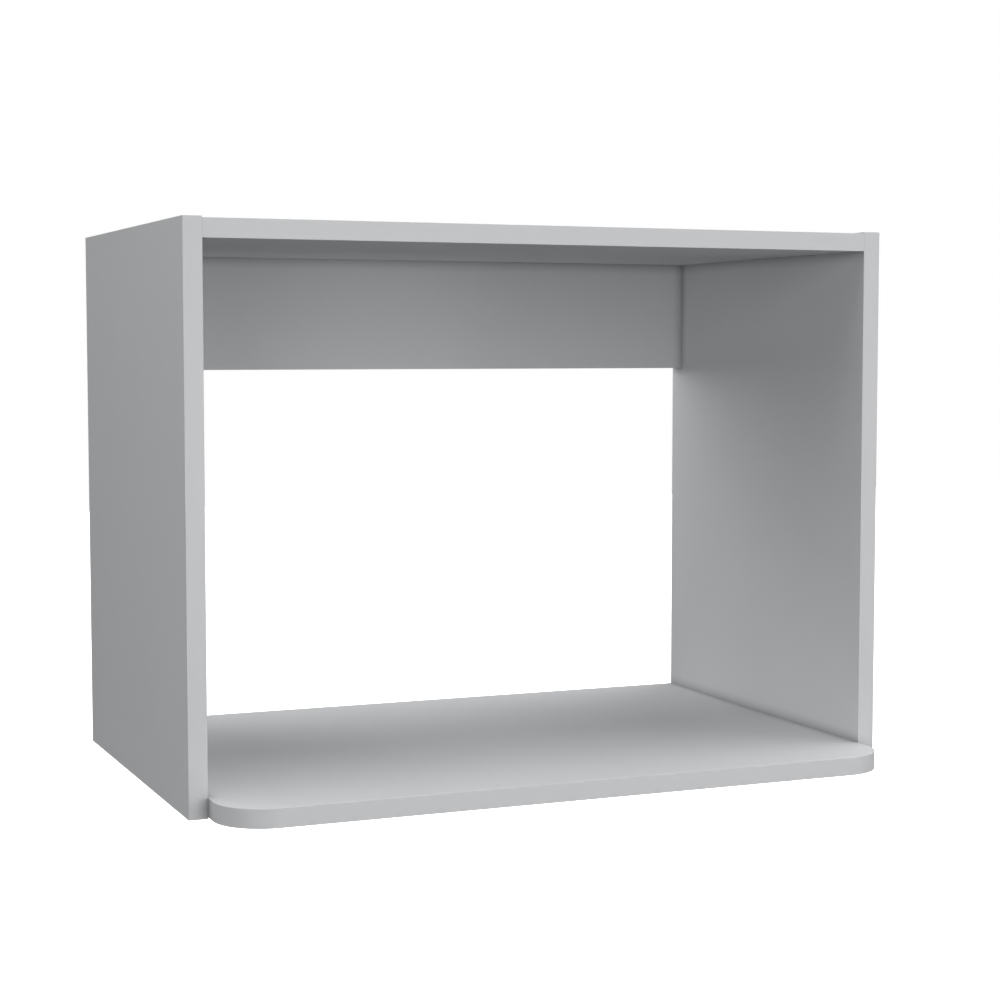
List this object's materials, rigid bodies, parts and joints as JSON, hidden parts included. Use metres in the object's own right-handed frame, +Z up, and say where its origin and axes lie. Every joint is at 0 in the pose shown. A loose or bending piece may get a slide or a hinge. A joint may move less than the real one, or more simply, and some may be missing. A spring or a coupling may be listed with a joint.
{
  "type": "wall microwave cabinet",
  "caption": "Open wall cabinet that holds a microwave oven: side panels, top panel, back rail and a deeper shelf with rounded front corners, joined by hidden cams and dowels.",
  "frame": {"origin": "bottom centre of the whole cabinet's box: middle of the width, half-way from the shelf's front edge to the wall plane, level with the side panels' lower edges", "axes": "+X across the cabinet to the right as seen from the room, +Y towards the wall, +Z up"},
  "size_m": [0.6, 0.4, 0.45],
  "materials": {
    "melamine_board": "chipboard with light grey matt melamine faces, bare core on the back edges",
    "edge_band": "light grey matt plastic edge band that matches the board",
    "cam_zinc": "zinc alloy, as die-cast",
    "bolt_steel": "steel, bright zinc plated",
    "dowel_beech": "fluted beech, bare"
  },
  "bodies": {
    "root": {"side_panel_left": "melamine_board", "side_panel_right": "melamine_board", "top_panel": "melamine_board", "shelf": "melamine_board", "back_rail": "melamine_board", "side_front_band_left": "edge_band", "side_front_band_right": "edge_band", "side_top_band_left": "edge_band", "side_top_band_right": "edge_band", "side_bottom_band_left": "edge_band", "side_bottom_band_right": "edge_band", "top_front_band": "edge_band", "shelf_front_band": "edge_band", "rail_lower_band": "edge_band", "cams_top": "cam_zinc", "cams_shelf": "cam_zinc", "cams_rail": "cam_zinc", "bolts_top": "bolt_steel", "bolts_shelf": "bolt_steel", "bolts_rail": "bolt_steel", "dowels_top": "dowel_beech", "dowels_shelf": "dowel_beech", "dowels_rail": "dowel_beech"}
  },
  "joints": []
}
